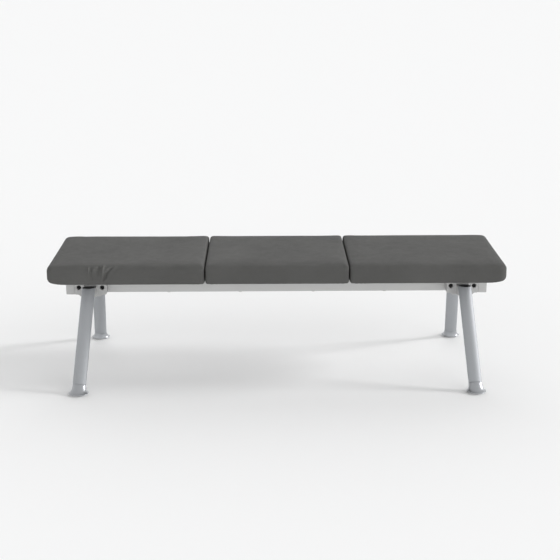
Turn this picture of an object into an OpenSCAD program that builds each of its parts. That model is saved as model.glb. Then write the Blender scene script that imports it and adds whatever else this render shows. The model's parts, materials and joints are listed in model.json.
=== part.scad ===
// Three-seat waiting bench: upholstered seats on a steel beam, carried by four splayed oval legs
// with flared feet and levelling glides. Millimetres, +Z up, +X along the bench, front towards -Y,
// origin on the floor at the middle of the bench.

/* [Seats] */
// Length of the whole row of seats
seat_row_w = 1680; // [1660:5:1700]
// Depth of a seat, front to back
seat_depth = 470; // [460:5:480]
// Height of the seat surface above the floor
seat_top = 460; // [458:1:466]
// Thickness of an upholstered seat
seat_thick = 70; // [68:1:74]
// Width of the middle seat
middle_seat_w = 524; // [508:2:538]
// Gap between neighbouring seats
seat_gap = 4; // [3:1:8]
// Thickness of the plywood seat board
board_thick = 15; // [12:1:18]
// Thickness of the upholstery cover
cover_thick = 1.5; // [1:0.1:2]

/* [Beam] */
// Depth of the beam's section
beam_d = 80; // [76:1:84]
// Height of the beam's section
beam_h = 60; // [58:1:62]
// Wall of the beam
beam_wall = 3; // [2.5:0.1:4]
// Length of each end cap beyond the beam
cap_len = 32; // [24:1:40]

/* [Leg brackets] */
// Distance from the middle of the bench to a leg's bracket
bracket_x = 702; // [690:1:706]
// Width of a bracket
bracket_w = 120; // [116:1:124]
// Height of a bracket
bracket_h = 55; // [53:1:57]
// Thickness of a bracket, from the beam to its outer face
bracket_d = 45; // [43:1:48]
// Distance between a bracket's two screws
screw_spacing = 87; // [86:1:90]

/* [Legs] */
// Width of a leg's oval section
leg_w = 49; // [48:1:51]
// Depth of a leg's oval section
leg_d = 30; // [29:1:31]
// Wall of a leg
leg_wall = 2.5; // [2:0.1:3]
// Height of a leg's cut top end
leg_top_z = 351; // [350:1:352]
// Distance from the beam's centre plane to a leg's top end
leg_top_y = 130; // [129:1:131]
// Sideways place of a foot
foot_x = 729; // [720:1:730]
// Distance from the beam's centre plane to a foot
foot_y = 320; // [316:1:324]

/* [Feet] */
// Width of a foot's flared base
foot_w = 72; // [70:1:76]
// Depth of a foot's flared base
foot_d = 63; // [60:1:66]
// Travel of a levelling glide
level_travel = 6; // [4:1:6]

/* [Hidden] */

// Colours
upholstery = [0.36, 0.36, 0.355];
silver = [0.70, 0.71, 0.72];
cast_silver = [0.66, 0.66, 0.65];
black = [0.04, 0.04, 0.04];
zinc = [0.62, 0.62, 0.58];
plywood = [0.72, 0.58, 0.40];
foam_yellow = [0.86, 0.80, 0.60];

// Heights of the stack: beam, rail, dust cover, cover's turned-in edge, board
seat_bottom = seat_top - seat_thick;
dust_thick = 1;
board_z = seat_bottom + dust_thick + cover_thick;
rail_h = 25;
beam_top = seat_bottom - rail_h;
beam_bottom = beam_top - beam_h;
beam_mid = beam_bottom + beam_h / 2;
beam_half_l = bracket_x + bracket_w / 2;
beam_edge_r = 6;
face_y = beam_d / 2 + bracket_d;
bracket_mid = beam_top - bracket_h / 2;
bracket_bottom = beam_top - bracket_h;

// Seats: centre and width of each
outer_seat_w = (seat_row_w - middle_seat_w - 2 * seat_gap) / 2;
outer_seat_x = (seat_row_w - outer_seat_w) / 2;
nose_r = 22;
under_r = 12;
side_r = 10;
end_r = 18;
outer_corner_r = 30;
inner_corner_r = 14;
foam_gap = 0.4;
board_inset = 12;
board_end_inset = 50;
cover_turn_in = 34;
dust_inset = 20;

// Seat rails and their fasteners
rail_offset = 140;
rail_w = 40;
rail_wall = 3;
rail_half_l = 190;
rail_end_h = 10;
rail_bolt_y = 14;
rail_bolt_r = 4;
rail_bolt_head_h = 4.4;
washer_h = 1.6;
board_screw_y = 150;
board_screw_r = 3;
tee_nut_r = 4;

// Boss that carries a leg, and the tongue that it grows from
boss_w = 48;
boss_leg_w = 43;
boss_top = 346;
boss_reach = 36;
tongue_w = 76;
tongue_drop = 7;
tongue_fillet = 12;
back_w = 50;
back_wall = 9;

// Bracket screws
screw_z = bracket_mid + 0.5;
screw_r = 5;
screw_head_r = 8;
screw_head_h = 10;
screw_sink = 20;
nut_body_r = 6.5;
nut_flange_r = 8.5;
nut_flange_h = 1.5;
nut_len = 20;

// Legs: the axis rises from the foot's centre on the floor to the top end
axis_dx = bracket_x - foot_x;
axis_dy = foot_y - leg_top_y;
tilt_y = atan(axis_dx / leg_top_z);
tilt_x = -atan(axis_dy * cos(tilt_y) / leg_top_z);
axis_len = norm([axis_dx, axis_dy, leg_top_z]);
leg_start = 37;
foot_spigot = 45;
plug_depth = 8;
leg_screw_drops = [15, 29];
leg_screw_r = 3;
leg_screw_head_r = 5;
leg_head_seat = leg_d / 2 + 13;
nut_bar_drop = 22;
fit_gap = 0.15;

// Heights at which a foot starts to flare and flares most
foot_waist_z = 21;
foot_flare_z = 11;

// Levelling glide, on a vertical axis set in from the base's centre
level_y = foot_y - 4;
foot_z = 5;
pad_r = 27;
pad_h = 4.6;
hub_r = 11;
hub_h = 10.3;
ball_r = 4.5;
ball_z = 6.6;
neck_r = 2.8;
hex_z = hub_h + 0.3;
hex_h = 4;
hex_r = 7.5;
stud_r = 3.97;
recess_r = 13;
recess_top = hex_z + hex_h + 0.3;
stud_top = recess_top + level_travel + 6;
insert_r = 6.2;
insert_len = level_travel + 5;
insert_bore_r = 4.03;

smooth = 64;
hole_gap = 0.5;
cut = 1;

// ---------- outlines ----------

function arc(cx, cy, r, from, to, steps = 6) =
    [for (i = [0:steps]) let (a = from + (to - from) * i / steps) [cx + r * cos(a), cy + r * sin(a)]];

// Rectangle with its own radius at each corner: lower left, lower right, upper right, upper left
function outline(x0, x1, y0, y1, r) = concat(
    arc(x0 + r[0], y0 + r[0], r[0], 180, 270),
    arc(x1 - r[1], y0 + r[1], r[1], 270, 360),
    arc(x1 - r[2], y1 - r[2], r[2], 0, 90),
    arc(x0 + r[3], y1 - r[3], r[3], 90, 180));

module round_rect(w, h, r) {
    square([w - 2 * r, h], center = true);
    square([w, h - 2 * r], center = true);
    for (x = [-1, 1], y = [-1, 1]) translate([x * (w / 2 - r), y * (h / 2 - r)]) circle(r, $fn = smooth);
}

// Oval of four tangent arcs: small arcs at the ends, wide arcs across the faces
module oval(w, d) {
    a = w / 2;
    b = d / 2;
    end = 0.6 * b;
    wide = ((a - end) * (a - end) + b * b - end * end) / (2 * (b - end));
    meet = (a - end) * wide / (wide - end);
    for (x = [-1, 1]) translate([x * (a - end), 0]) circle(end, $fn = smooth);
    intersection() {
        translate([0, wide - b]) circle(wide, $fn = 2 * smooth);
        translate([0, b - wide]) circle(wide, $fn = 2 * smooth);
        square([2 * meet, d], center = true);
    }
}

// ---------- placing ----------

module on_right() children();
module on_left() mirror([1, 0, 0]) children();
module at_rear() mirror([0, 1, 0]) children();

module each_corner() {
    on_right() children();
    on_left() children();
    at_rear() on_right() children();
    at_rear() on_left() children();
}

// Everything on a leg is drawn along +Z from the foot's centre on the floor, for the front right leg
module along_leg() translate([foot_x, -foot_y, 0]) rotate([tilt_x, tilt_y, 0]) children();

module at_level_axis() translate([foot_x, -level_y, 0]) children();

// Screws into a bracket, pointing along +Z from the beam's face outwards
module at_bracket_screws() {
    for (side = [-1, 1])
        translate([bracket_x + side * screw_spacing / 2, -beam_d / 2, screw_z]) rotate([90, 0, 0]) children();
}

// Two screws that hold a leg in its bracket, pointing along +Z from the leg's axis towards the beam
module at_leg_screws() {
    along_leg() for (drop = leg_screw_drops)
        translate([0, 0, axis_len - drop]) rotate([-90, 0, 0]) children();
}

rail_places = [-outer_seat_x - rail_offset, -outer_seat_x + rail_offset, -rail_offset, rail_offset,
    outer_seat_x - rail_offset, outer_seat_x + rail_offset];

module at_rail_bolts() for (x = rail_places, y = [-1, 1]) translate([x, y * rail_bolt_y, 0]) children();
module at_board_screws() for (x = rail_places, y = [-1, 1]) translate([x, y * board_screw_y, 0]) children();

// ---------- beam ----------

module beam() color(silver) difference() {
    rotate([90, 0, 90]) translate([0, beam_mid, -beam_half_l]) linear_extrude(2 * beam_half_l) difference() {
        round_rect(beam_d, beam_h, beam_edge_r);
        round_rect(beam_d - 2 * beam_wall, beam_h - 2 * beam_wall, beam_edge_r - beam_wall);
    }
    each_corner() at_bracket_screws()
        translate([0, 0, -beam_wall - cut]) cylinder(h = beam_wall + 2 * cut, r = nut_body_r, $fn = smooth);
    at_rail_bolts()
        translate([0, 0, beam_bottom - cut])
            cylinder(h = beam_h + 2 * cut, r = rail_bolt_r + hole_gap, $fn = smooth);
}

// End view of a cap: the beam's section with a wing on each side, level with the brackets
module cap_outline(shrink) {
    translate([0, beam_mid]) round_rect(beam_d + 4 - 2 * shrink, beam_h - 2 * shrink, beam_edge_r - shrink);
    translate([0, bracket_mid])
        round_rect(2 * (face_y - shrink), bracket_h - 2 * shrink, beam_edge_r - shrink);
}

module end_cap() color(cast_silver) {
    wall = 3;
    tail = 8;
    inner_d = beam_d - 2 * beam_wall - 0.6;
    inner_h = beam_h - 2 * beam_wall - 0.6;
    translate([beam_half_l, 0, 0]) difference() {
        rotate([90, 0, 90]) linear_extrude(cap_len) cap_outline(0);
        translate([-cut, 0, 0]) rotate([90, 0, 90]) linear_extrude(cap_len - wall + cut) cap_outline(wall);
    }
    // Tail that plugs into the beam
    translate([beam_half_l - tail, 0, beam_mid]) rotate([90, 0, 90])
        linear_extrude(tail + cap_len - wall + cut) difference() {
            round_rect(inner_d, inner_h, 3);
            round_rect(inner_d - 4, inner_h - 4, 2);
        }
}

// ---------- leg bracket ----------

// Front view of a bracket: a plate with a tongue below, filleted into the plate's lower edge
module bracket_outline() {
    corner = 5;
    side = bracket_w / 2 - corner;
    fillet_x = tongue_w / 2 + tongue_fillet;
    fillet_z = bracket_bottom - tongue_fillet;
    fillet_end = asin(1 - tongue_drop / tongue_fillet);
    polygon(concat(
        arc(-side, bracket_bottom + corner, corner, 180, 270),
        arc(-fillet_x, fillet_z, tongue_fillet, 90, fillet_end),
        arc(fillet_x, fillet_z, tongue_fillet, 180 - fillet_end, 90),
        arc(side, bracket_bottom + corner, corner, 270, 360),
        arc(side, beam_top - corner, corner, 0, 90),
        arc(-side, beam_top - corner, corner, 90, 180)));
}

module bracket_body() {
    slab = 4;
    inside = 1;
    root_z = bracket_bottom - tongue_drop + inside;
    translate([bracket_x, -beam_d / 2, 0]) rotate([90, 0, 0]) linear_extrude(bracket_d) bracket_outline();
    // Boss that reaches out from the tongue to the leg
    hull() {
        translate([bracket_x - boss_w / 2, inside - face_y, root_z]) cube([boss_w, slab, boss_top - root_z]);
        along_leg() translate([-boss_leg_w / 2, leg_d / 2 - slab - 3, axis_len - boss_reach])
            cube([boss_leg_w, slab, boss_reach - 7]);
    }
}

module leg_bracket() color(cast_silver) difference() {
    bracket_body();
    // Saddle for the leg
    along_leg() translate([0, 0, leg_start]) linear_extrude(axis_len)
        oval(leg_w + 2 * fit_gap, leg_d + 2 * fit_gap);
    // Screw holes, counterbored from the outer face and relieved for the nut's flange behind
    at_bracket_screws() {
        translate([0, 0, -cut]) cylinder(h = bracket_d + 2 * cut, r = screw_r + hole_gap, $fn = smooth);
        translate([0, 0, bracket_d - screw_sink])
            cylinder(h = screw_sink + cut, r = screw_head_r + 0.4, $fn = smooth);
        translate([0, 0, -cut]) cylinder(h = nut_flange_h + cut + 0.1, r = nut_flange_r + 0.3, $fn = smooth);
    }
    // Hollow back, which gives room for the leg's screws
    translate([bracket_x, -beam_d / 2 - bracket_d / 2 + back_wall, bracket_mid])
        cube([back_w, bracket_d, bracket_h - 2 * back_wall], center = true);
    at_leg_screws() {
        cylinder(h = 60, r = leg_screw_r + hole_gap, $fn = smooth);
        translate([0, 0, leg_head_seat]) cylinder(h = 60, r = leg_screw_head_r + 0.8, $fn = smooth);
    }
}

module bracket_screws() color(black) each_corner() at_bracket_screws() difference() {
    union() {
        translate([0, 0, -18]) cylinder(h = 18 + bracket_d - screw_sink, r = screw_r, $fn = smooth);
        translate([0, 0, bracket_d - screw_sink]) cylinder(h = screw_head_h, r = screw_head_r, $fn = smooth);
    }
    translate([0, 0, bracket_d - screw_sink + screw_head_h - 5]) cylinder(h = 6, r = 4.6, $fn = 6);
}

module beam_rivet_nuts() color(zinc) each_corner() at_bracket_screws() difference() {
    union() {
        translate([0, 0, -nut_len]) cylinder(h = nut_len, r = nut_body_r - 0.1, $fn = smooth);
        cylinder(h = nut_flange_h, r = nut_flange_r, $fn = smooth);
    }
    translate([0, 0, -nut_len - cut])
        cylinder(h = nut_len + nut_flange_h + 2 * cut, r = screw_r + 0.05, $fn = smooth);
}

// ---------- legs ----------

module below_leg_top() translate([0, -250, leg_top_z / 2]) cube([2000, 500, leg_top_z], center = true);

module leg() color(silver) difference() {
    intersection() {
        along_leg() translate([0, 0, leg_start]) linear_extrude(axis_len) oval(leg_w, leg_d);
        below_leg_top();
    }
    along_leg() translate([0, 0, leg_start - cut]) linear_extrude(axis_len + 2 * cut)
        oval(leg_w - 2 * leg_wall, leg_d - 2 * leg_wall);
    at_leg_screws() cylinder(h = leg_d, r = leg_screw_r + hole_gap, $fn = smooth);
}

module leg_plug() color(black) intersection() {
    along_leg() translate([0, 0, axis_len - plug_depth]) linear_extrude(2 * plug_depth)
        oval(leg_w - 2 * leg_wall - 2 * fit_gap, leg_d - 2 * leg_wall - 2 * fit_gap);
    below_leg_top();
}

module leg_nut_bar() color(zinc) difference() {
    along_leg() translate([0, leg_d / 2 - leg_wall - 4.5, axis_len - nut_bar_drop])
        cube([16, 6, 26], center = true);
    at_leg_screws() cylinder(h = leg_d, r = leg_screw_r + 0.05, $fn = smooth);
}

module leg_screw() color(zinc) at_leg_screws() {
    translate([0, 0, 3]) cylinder(h = leg_head_seat - 2, r = leg_screw_r, $fn = smooth);
    translate([0, 0, leg_head_seat]) difference() {
        cylinder(h = 6, r = leg_screw_head_r, $fn = smooth);
        translate([0, 0, 3]) cylinder(h = 4, r = 2.8, $fn = 6);
    }
}

// ---------- feet ----------

module foot_section(height, w, d, centre_y)
    translate([foot_x + axis_dx * height / leg_top_z, -centre_y, height])
        scale([w, d, 1]) cylinder(h = 0.5, r = 0.5, $fn = 32);

module foot() color(silver) {
    joint = leg_start - fit_gap;
    difference() {
        union() {
            hull() {
                along_leg() translate([0, 0, joint - 4]) linear_extrude(4) oval(leg_w, leg_d, $fn = 32);
                foot_section(foot_waist_z, 53, 41, foot_y - 9);
            }
            hull() {
                foot_section(foot_waist_z, 53, 41, foot_y - 9);
                foot_section(foot_flare_z, 60, 51, foot_y - 3);
            }
            hull() {
                foot_section(foot_flare_z, 60, 51, foot_y - 3);
                foot_section(foot_z + 2, foot_w, foot_d, foot_y);
                foot_section(foot_z, foot_w, foot_d, foot_y);
            }
            along_leg() translate([0, 0, joint - 8]) linear_extrude(foot_spigot)
                oval(leg_w - 2 * leg_wall - 2 * fit_gap, leg_d - 2 * leg_wall - 2 * fit_gap);
        }
        at_level_axis() {
            translate([0, 0, -cut]) cylinder(h = recess_top + cut, r = recess_r, $fn = smooth);
            cylinder(h = recess_top + insert_len, r = insert_r, $fn = smooth);
            cylinder(h = stud_top + 2, r = stud_r + 0.6, $fn = smooth);
        }
    }
}

module leveller_insert() color(zinc) at_level_axis() translate([0, 0, recess_top]) difference() {
    cylinder(h = insert_len, r = insert_r - 0.05, $fn = smooth);
    translate([0, 0, -cut]) cylinder(h = insert_len + 2 * cut, r = insert_bore_r, $fn = smooth);
}

module leveller_stud() color(zinc) at_level_axis() {
    translate([0, 0, ball_z]) sphere(ball_r, $fn = smooth);
    translate([0, 0, ball_z]) cylinder(h = hex_z - ball_z + 1, r = neck_r, $fn = smooth);
    translate([0, 0, hex_z]) cylinder(h = hex_h, r = hex_r, $fn = 6);
    translate([0, 0, hex_z + hex_h - 1]) cylinder(h = stud_top - hex_z - hex_h + 1, r = stud_r, $fn = smooth);
}

module glide_pad() color(black) at_level_axis() difference() {
    union() {
        cylinder(h = pad_h - 1, r = pad_r, $fn = smooth);
        translate([0, 0, pad_h - 1]) cylinder(h = 1, r1 = pad_r, r2 = pad_r - 1, $fn = smooth);
        cylinder(h = hub_h, r = hub_r, $fn = smooth);
    }
    translate([0, 0, ball_z]) sphere(ball_r + 0.06, $fn = smooth);
    translate([0, 0, ball_z]) cylinder(h = hub_h, r = neck_r + 0.5, $fn = smooth);
}

// ---------- seats ----------

// Padded block between x0 and x1, taken in by inset all round. outer is -1, 0 or 1: the end of
// the bench that it forms.
module padded_block(x0, x1, outer, inset, bottom) {
    left_plan = (outer < 0 ? outer_corner_r : inner_corner_r) - inset;
    right_plan = (outer > 0 ? outer_corner_r : inner_corner_r) - inset;
    left_end = (outer < 0 ? end_r : side_r) - inset;
    right_end = (outer > 0 ? end_r : side_r) - inset;
    y = seat_depth / 2 - inset;
    top = seat_top - inset;
    far = seat_row_w;
    intersection() {
        translate([0, 0, bottom]) linear_extrude(top - bottom)
            polygon(outline(x0 + inset, x1 - inset, -y, y, [left_plan, right_plan, right_plan, left_plan]));
        rotate([90, 0, 90]) linear_extrude(2 * far, center = true)
            polygon(outline(-y, y, bottom, top,
                [under_r - inset, under_r - inset, nose_r - inset, nose_r - inset]));
        rotate([90, 0, 0]) linear_extrude(seat_depth + 2, center = true)
            polygon(outline(x0 + inset, x1 - inset, bottom, top, [left_end, right_end, right_end, left_end]));
    }
}

module board_shape(x0, x1, outer, thick, grow) {
    left = outer < 0 ? board_end_inset : board_inset;
    right = outer > 0 ? board_end_inset : board_inset;
    y = seat_depth / 2 - board_inset + grow;
    linear_extrude(thick)
        polygon(outline(x0 + left - grow, x1 - right + grow, -y, y, [10, 10, 10, 10]));
}

module seat_cover(x0, x1, outer) color(upholstery) difference() {
    padded_block(x0, x1, outer, 0, seat_bottom + dust_thick);
    padded_block(x0, x1, outer, cover_thick, board_z);
    // Opening under the board, inside the turned-in edge
    translate([0, 0, seat_bottom]) board_shape(x0, x1, outer, 5, -cover_turn_in);
}

module seat_foam(x0, x1, outer) color(foam_yellow) difference() {
    padded_block(x0, x1, outer, cover_thick + foam_gap, board_z + foam_gap);
    translate([0, 0, board_z - cut]) board_shape(x0, x1, outer, board_thick + cut + foam_gap, foam_gap);
    at_board_screws() translate([0, 0, board_z]) cylinder(h = 24, r = 10, $fn = smooth);
}

module seat_board(x0, x1, outer) color(plywood) difference() {
    translate([0, 0, board_z]) board_shape(x0, x1, outer, board_thick, 0);
    at_board_screws() translate([0, 0, board_z - cut])
        cylinder(h = board_thick + 2 * cut, r = tee_nut_r + 0.1, $fn = smooth);
}

module dust_cover(x0, x1, outer) color(black) difference() {
    translate([0, 0, seat_bottom]) board_shape(x0, x1, outer, dust_thick, -dust_inset);
    at_board_screws() translate([0, 0, seat_bottom - cut])
        cylinder(h = 4, r = board_screw_r + hole_gap, $fn = smooth);
}

// Which x0, x1 and end a seat has: -1 left, 0 middle, 1 right
function seat_x0(side) = side * outer_seat_x - (side == 0 ? middle_seat_w : outer_seat_w) / 2;
function seat_x1(side) = side * outer_seat_x + (side == 0 ? middle_seat_w : outer_seat_w) / 2;

// ---------- seat rails ----------

// Pressed channel, open below, that tapers towards its ends
module seat_rail(x) color(black) translate([x, 0, 0]) difference() {
    rotate([90, 0, 90]) linear_extrude(rail_w, center = true) polygon([
        [-rail_half_l, seat_bottom - rail_end_h], [-beam_d / 2 - 8, beam_top], [beam_d / 2 + 8, beam_top],
        [rail_half_l, seat_bottom - rail_end_h], [rail_half_l, seat_bottom], [-rail_half_l, seat_bottom]]);
    translate([0, 0, (beam_top + seat_bottom) / 2 - rail_wall])
        cube([rail_w - 2 * rail_wall, 2 * rail_half_l - 2 * rail_wall, rail_h], center = true);
    for (y = [-1, 1]) translate([0, y * board_screw_y, seat_bottom - rail_wall - cut])
        cylinder(h = rail_wall + 2 * cut, r = board_screw_r + hole_gap, $fn = smooth);
}

module rail_nut_bars() color(zinc) for (x = rail_places) difference() {
    translate([x, 0, beam_top + 4]) cube([rail_w - 2 * rail_wall, 2 * rail_bolt_y + 26, 8], center = true);
    for (y = [-1, 1]) translate([x, y * rail_bolt_y, beam_top - cut])
        cylinder(h = 12, r = rail_bolt_r + 0.05, $fn = smooth);
}

module rail_bolts() color(zinc) at_rail_bolts() translate([0, 0, beam_bottom - washer_h]) {
    cylinder(h = beam_h + 14, r = rail_bolt_r, $fn = smooth);
    translate([0, 0, -rail_bolt_head_h]) difference() {
        cylinder(h = rail_bolt_head_h, r = 7, $fn = smooth);
        translate([0, 0, -cut]) cylinder(h = 3 + cut, r = 2.9, $fn = 6);
    }
}

module rail_washers() color(zinc) at_rail_bolts() translate([0, 0, beam_bottom - washer_h]) difference() {
    cylinder(h = washer_h, r = 8.5, $fn = smooth);
    translate([0, 0, -cut]) cylinder(h = washer_h + 2 * cut, r = rail_bolt_r + 0.3, $fn = smooth);
}

module board_screws() color(zinc) at_board_screws() {
    translate([0, 0, seat_bottom - rail_wall]) cylinder(h = 20, r = board_screw_r, $fn = smooth);
    translate([0, 0, seat_bottom - rail_wall - 3.6]) difference() {
        cylinder(h = 3.6, r = 5.5, $fn = smooth);
        translate([0, 0, -cut]) cylinder(h = 2 + cut, r = 2.4, $fn = 6);
    }
}

module board_tee_nuts() color(zinc) at_board_screws() difference() {
    union() {
        translate([0, 0, board_z + board_thick - 11]) cylinder(h = 11, r = tee_nut_r, $fn = smooth);
        translate([0, 0, board_z + board_thick]) cylinder(h = 1.4, r = 9, $fn = smooth);
    }
    translate([0, 0, board_z]) cylinder(h = board_thick + 4, r = board_screw_r + 0.05, $fn = smooth);
}

// ---------- nodes ----------

beam();
on_left() end_cap();  // end_cap_left
on_right() end_cap();  // end_cap_right

on_left() leg_bracket();  // bracket_front_left
on_right() leg_bracket();  // bracket_front_right
at_rear() on_left() leg_bracket();  // bracket_rear_left
at_rear() on_right() leg_bracket();  // bracket_rear_right
bracket_screws();
beam_rivet_nuts();

on_left() leg();  // leg_front_left
on_right() leg();  // leg_front_right
at_rear() on_left() leg();  // leg_rear_left
at_rear() on_right() leg();  // leg_rear_right
on_left() leg_plug();  // leg_plug_front_left
on_right() leg_plug();  // leg_plug_front_right
at_rear() on_left() leg_plug();  // leg_plug_rear_left
at_rear() on_right() leg_plug();  // leg_plug_rear_right
each_corner() leg_nut_bar();  // leg_nut_bars
each_corner() leg_screw();  // leg_screws

on_left() foot();  // foot_front_left
on_right() foot();  // foot_front_right
at_rear() on_left() foot();  // foot_rear_left
at_rear() on_right() foot();  // foot_rear_right
each_corner() leveller_insert();  // leveller_inserts
on_left() leveller_stud();  // leveller_stud_front_left
on_right() leveller_stud();  // leveller_stud_front_right
at_rear() on_left() leveller_stud();  // leveller_stud_rear_left
at_rear() on_right() leveller_stud();  // leveller_stud_rear_right
on_left() glide_pad();  // glide_pad_front_left
on_right() glide_pad();  // glide_pad_front_right
at_rear() on_left() glide_pad();  // glide_pad_rear_left
at_rear() on_right() glide_pad();  // glide_pad_rear_right

seat_cover(seat_x0(-1), seat_x1(-1), -1);  // seat_cover_left
seat_cover(seat_x0(0), seat_x1(0), 0);  // seat_cover_middle
seat_cover(seat_x0(1), seat_x1(1), 1);  // seat_cover_right
seat_foam(seat_x0(-1), seat_x1(-1), -1);  // seat_foam_left
seat_foam(seat_x0(0), seat_x1(0), 0);  // seat_foam_middle
seat_foam(seat_x0(1), seat_x1(1), 1);  // seat_foam_right
seat_board(seat_x0(-1), seat_x1(-1), -1);  // seat_board_left
seat_board(seat_x0(0), seat_x1(0), 0);  // seat_board_middle
seat_board(seat_x0(1), seat_x1(1), 1);  // seat_board_right
dust_cover(seat_x0(-1), seat_x1(-1), -1);  // dust_cover_left
dust_cover(seat_x0(0), seat_x1(0), 0);  // dust_cover_middle
dust_cover(seat_x0(1), seat_x1(1), 1);  // dust_cover_right

seat_rail(rail_places[0]);  // seat_rail_1
seat_rail(rail_places[1]);  // seat_rail_2
seat_rail(rail_places[2]);  // seat_rail_3
seat_rail(rail_places[3]);  // seat_rail_4
seat_rail(rail_places[4]);  // seat_rail_5
seat_rail(rail_places[5]);  // seat_rail_6
rail_nut_bars();
rail_bolts();
rail_washers();
board_screws();
board_tee_nuts();
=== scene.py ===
import json
import math
import bpy
import numpy as np
from mathutils import Matrix, Vector

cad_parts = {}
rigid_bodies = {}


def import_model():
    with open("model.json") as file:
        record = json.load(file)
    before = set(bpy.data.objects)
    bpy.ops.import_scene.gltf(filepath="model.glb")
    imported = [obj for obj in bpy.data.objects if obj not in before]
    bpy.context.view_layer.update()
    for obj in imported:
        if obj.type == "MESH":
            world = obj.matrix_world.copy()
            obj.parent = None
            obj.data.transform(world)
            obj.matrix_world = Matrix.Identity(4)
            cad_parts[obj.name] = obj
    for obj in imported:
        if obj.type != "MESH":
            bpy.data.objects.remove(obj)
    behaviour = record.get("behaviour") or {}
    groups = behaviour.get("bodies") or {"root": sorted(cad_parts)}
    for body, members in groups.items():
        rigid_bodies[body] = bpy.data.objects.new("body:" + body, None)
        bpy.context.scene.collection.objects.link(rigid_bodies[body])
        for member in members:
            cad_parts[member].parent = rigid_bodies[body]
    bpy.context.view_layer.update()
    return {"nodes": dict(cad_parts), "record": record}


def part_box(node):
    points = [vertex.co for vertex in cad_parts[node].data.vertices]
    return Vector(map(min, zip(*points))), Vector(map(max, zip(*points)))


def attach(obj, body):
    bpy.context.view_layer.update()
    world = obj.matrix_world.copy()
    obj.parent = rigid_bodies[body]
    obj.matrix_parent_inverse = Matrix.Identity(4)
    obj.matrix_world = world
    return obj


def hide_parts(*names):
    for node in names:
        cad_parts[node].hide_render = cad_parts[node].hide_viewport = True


for leftover in list(bpy.data.objects):
    bpy.data.objects.remove(leftover)
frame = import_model()
nodes = frame["nodes"]
scene = bpy.context.scene
scene.view_settings.view_transform = "Standard"
ends = ("left", "middle", "right")
corners = ("front_left", "front_right", "rear_left", "rear_right")
print("frame loaded")


def addNode(tree, kind, inputs=None, **settings):
    node = tree.nodes.new(kind)
    for name, value in settings.items():
        setattr(node, name, value)
    for name, value in (inputs or {}).items():
        if hasattr(value, "links"):
            tree.links.new(value, node.inputs[name])
        else:
            node.inputs[name].default_value = value
    return node


def mathNode(tree, operation, first, second=0.0, clamp=False):
    node = addNode(tree, "ShaderNodeMath", {0: first, 1: second}, operation=operation, use_clamp=clamp)
    return node.outputs[0]


def blendColour(tree, factor, first, second):
    node = addNode(tree, "ShaderNodeMix", data_type="RGBA")
    for socket, value in ((node.inputs[0], factor), (node.inputs[6], first), (node.inputs[7], second)):
        if hasattr(value, "links"):
            tree.links.new(value, socket)
        else:
            socket.default_value = value
    return node.outputs[2]


def mapRange(tree, value, low, high, toLow=0.0, toHigh=1.0, smooth=False):
    return addNode(tree, "ShaderNodeMapRange", {
        "Value": value, "From Min": low, "From Max": high, "To Min": toLow, "To Max": toHigh,
    }, interpolation_type="SMOOTHSTEP" if smooth else "LINEAR").outputs["Result"]


def newGroup(name, inputs, outputs):
    group = bpy.data.node_groups.new(name, "ShaderNodeTree")
    for socketName, kind, value in inputs:
        socket = group.interface.new_socket(socketName, in_out="INPUT", socket_type=kind)
        if value is not None:
            socket.default_value = value
    for socketName, kind in outputs:
        group.interface.new_socket(socketName, in_out="OUTPUT", socket_type=kind)
    return group, group.nodes.new("NodeGroupInput"), group.nodes.new("NodeGroupOutput")


def place(tree, group, **values):
    node = tree.nodes.new("ShaderNodeGroup")
    node.node_tree = group
    for name, value in values.items():
        socket = node.inputs[name.replace("_", " ")]
        if hasattr(value, "links"):
            tree.links.new(value, socket)
        else:
            socket.default_value = value
    return node


viewPoint = {
    "place": (-0.0482, -4.443, 1.635),
    "lookDown": 16.257,     # degrees below level
    "turn": 0.789,          # degrees towards +X
    "roll": -0.068,
    "lens": 77.46,
}


def makeCamera(values):
    camera = bpy.data.objects.new("camera", bpy.data.cameras.new("camera"))
    down, turn, roll = (math.radians(values[k]) for k in ("lookDown", "turn", "roll"))
    ahead = Vector((math.sin(turn) * math.cos(down), math.cos(turn) * math.cos(down), -math.sin(down)))
    right = Vector((math.cos(turn), -math.sin(turn), 0))
    up = right.cross(ahead)
    rolledRight = right * math.cos(roll) + up * math.sin(roll)
    rolledUp = up * math.cos(roll) - right * math.sin(roll)
    turned = Matrix((rolledRight, rolledUp, -ahead)).transposed().to_4x4()
    camera.matrix_world = Matrix.Translation(values["place"]) @ turned
    camera.data.lens = values["lens"]
    camera.data.clip_end = 200
    scene.collection.objects.link(camera)
    scene.camera = camera


studio = {
    "skyTint": (0.995, 0.998, 1.0, 1),
    "litSky": (2.20, 0.16),         # strength at the horizon, and what is added everywhere
    "mirroredSky": (0.55, 0.62),    # the same, as polished parts reflect it
    "horizonFall": 1.5,
    "backdrop": 0.944,      # what is seen past the floor's far edge, as bright as the floor there
    "frontShare": 0.02,     # how much brighter the sky is in front than behind
    "rightShare": 0.20,     # and on the right than on the left
    "keyStrength": 1.50,
    "keyHeight": 23.5,      # degrees above level, from the right
    "keyBehind": 3.5,       # degrees round towards the rear
    "keySize": 12,          # degrees across
    "fillStrength": 0.62,
    "fillFrom": (0.72, -0.60, 0.34),
    "fillSize": 55,
    "backStrength": 0.66,
    "backHeight": 38,
    "backSize": 60,
    "floorColour": (0.90, 0.90, 0.90, 1),
    "floorSize": 120,
}


def sunLight(name, strength, size, fromWhere, glossy=True):
    light = bpy.data.lights.new(name, "SUN")
    light.energy = strength
    light.angle = math.radians(size)
    sun = bpy.data.objects.new(name, light)
    sun.visible_glossy = glossy
    sun.rotation_mode = "QUATERNION"
    sun.rotation_quaternion = Vector(fromWhere).to_track_quat("Z", "Y")
    scene.collection.objects.link(sun)


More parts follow.
